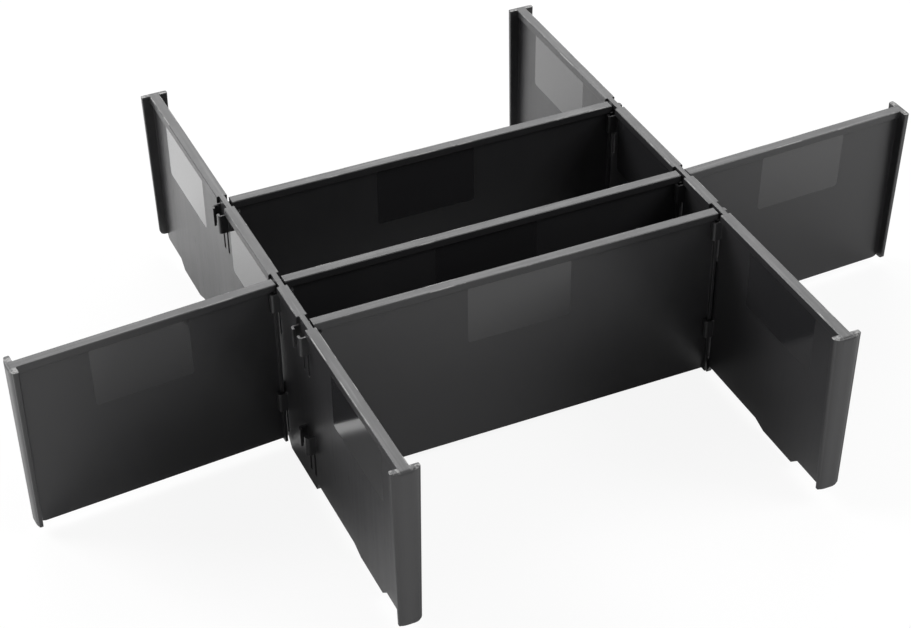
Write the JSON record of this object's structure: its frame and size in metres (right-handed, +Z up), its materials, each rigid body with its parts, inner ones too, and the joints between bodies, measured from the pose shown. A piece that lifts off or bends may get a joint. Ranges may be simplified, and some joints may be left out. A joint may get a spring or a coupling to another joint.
{
  "type": "case divider set",
  "caption": "Plug-together plastic dividers that split a shallow case into compartments: long flanged dividers with hook stations, hooked-in cross dividers, an outer divider on each side.",
  "frame": {"origin": "on the ground under the middle of the set, which is the bottom centre of the bounding box", "axes": "+Z up; +X across the set, towards the right outer divider; +Y along the long dividers, towards the back"},
  "size_m": [0.3736, 0.263, 0.0771],
  "materials": {
    "dark_plastic": "satin, with polished fields"
  },
  "bodies": {
    "long_dividers": {"long_divider_left": "dark_plastic", "long_divider_right": "dark_plastic"},
    "cross_front": {"cross_divider_front": "dark_plastic"},
    "cross_middle": {"cross_divider_middle": "dark_plastic"},
    "cross_back": {"cross_divider_back": "dark_plastic"},
    "outer_left": {"outer_divider_left": "dark_plastic"},
    "outer_right": {"outer_divider_right": "dark_plastic"}
  },
  "joints": [
    {"name": "cross_front_lift", "type": "slide", "parent": "long_dividers", "child": "cross_front", "axis": [0, 0, 1], "range_m": [0, 0.09]},
    {"name": "cross_middle_lift", "type": "slide", "parent": "long_dividers", "child": "cross_middle", "axis": [0, 0, 1], "range_m": [0, 0.09]},
    {"name": "cross_back_lift", "type": "slide", "parent": "long_dividers", "child": "cross_back", "axis": [0, 0, 1], "range_m": [0, 0.09]},
    {"name": "outer_left_lift", "type": "slide", "parent": "long_dividers", "child": "outer_left", "axis": [0, 0, 1], "range_m": [0, 0.09]},
    {"name": "outer_right_lift", "type": "slide", "parent": "long_dividers", "child": "outer_right", "axis": [0.0009, -0.0218, 0.9998], "range_m": [0, 0.09]}
  ]
}
